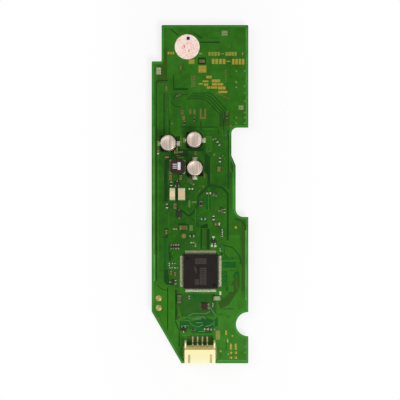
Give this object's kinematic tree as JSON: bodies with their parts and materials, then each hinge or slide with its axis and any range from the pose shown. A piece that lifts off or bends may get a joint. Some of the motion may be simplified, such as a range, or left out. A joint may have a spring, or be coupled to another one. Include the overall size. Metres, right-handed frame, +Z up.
{
  "type": "optical drive circuit board",
  "caption": "Narrow stepped and notched circuit board of an optical drive, with a quad flat pack chip, round can capacitors, an inductor and a side-entry power header.",
  "frame": {"origin": "under the middle of the board's outline, on the plane that the underside ribbon connectors rest on", "axes": "+X across the board towards the notched edge, +Y along the board towards the stepped end, +Z up through the component side"},
  "size_m": [0.04, 0.14, 0.01],
  "materials": {
    "board": "semi-gloss solder mask",
    "can": "satin",
    "can_base": "matt",
    "capacitor_ceramic": "matt tan",
    "chip_moulding": "matt, faint grain",
    "contact": "bright",
    "copper_wire": "enamelled",
    "ferrite": "matt",
    "filter_ceramic": "matt pink cream",
    "gold_pad": "flat bright",
    "header_nylon": "semi-gloss ivory",
    "network_ceramic": "glossy",
    "resistor_ceramic": "matt white",
    "resistor_glaze": "glossy",
    "ribbon_nylon": "matt ivory",
    "solder": "soft shine",
    "sticker": "matt, faint print",
    "tantalum_moulding": "matt orange brown",
    "tin": "satin tin plate"
  },
  "bodies": {
    "root": {"capacitor_1_base": "can_base", "capacitor_1_can": "can", "capacitor_1_terminals": "tin", "capacitor_2_base": "can_base", "capacitor_2_can": "can", "capacitor_2_terminals": "tin", "capacitor_3_base": "can_base", "capacitor_3_can": "can", "capacitor_3_terminals": "tin", "chip_capacitor_bodies": "capacitor_ceramic", "chip_capacitor_end_caps": "solder", "chip_resistor_bodies": "resistor_ceramic", "chip_resistor_end_caps": "solder", "chip_resistor_glazes": "resistor_glaze", "circuit_board": "board", "diode_bodies": "chip_moulding", "diode_leads": "tin", "filter_capacitor_bodies": "filter_ceramic", "filter_capacitor_end_caps": "solder", "gold_test_pads": "gold_pad", "host_ribbon_contacts": "contact", "host_ribbon_housing": "ribbon_nylon", "host_ribbon_tabs": "tin", "inductor_spool": "ferrite", "inductor_terminals": "tin", "inductor_winding": "copper_wire", "inspection_sticker": "sticker", "main_chip_body": "chip_moulding", "main_chip_leads": "tin", "motor_driver_body": "chip_moulding", "motor_driver_heat_tabs": "tin", "motor_driver_leads": "tin", "motor_ribbon_contacts": "contact", "motor_ribbon_housing": "ribbon_nylon", "motor_ribbon_tabs": "tin", "pickup_ribbon_contacts": "contact", "pickup_ribbon_housing": "ribbon_nylon", "pickup_ribbon_tabs": "tin", "power_header_housing": "header_nylon", "power_header_pins": "tin", "power_header_tabs": "tin", "regulator_body": "chip_moulding", "regulator_leads": "tin", "resistor_network_body": "network_ceramic", "resistor_network_terminals": "solder", "solder_lands": "solder", "tantalum_capacitor_body": "tantalum_moulding", "tantalum_capacitor_terminals": "tin", "tinned_pads": "solder", "transistor_bodies": "chip_moulding", "transistor_leads": "tin", "underside_capacitor_bodies": "capacitor_ceramic", "underside_capacitor_end_caps": "solder", "wire_solder_joints": "solder"}
  },
  "joints": []
}
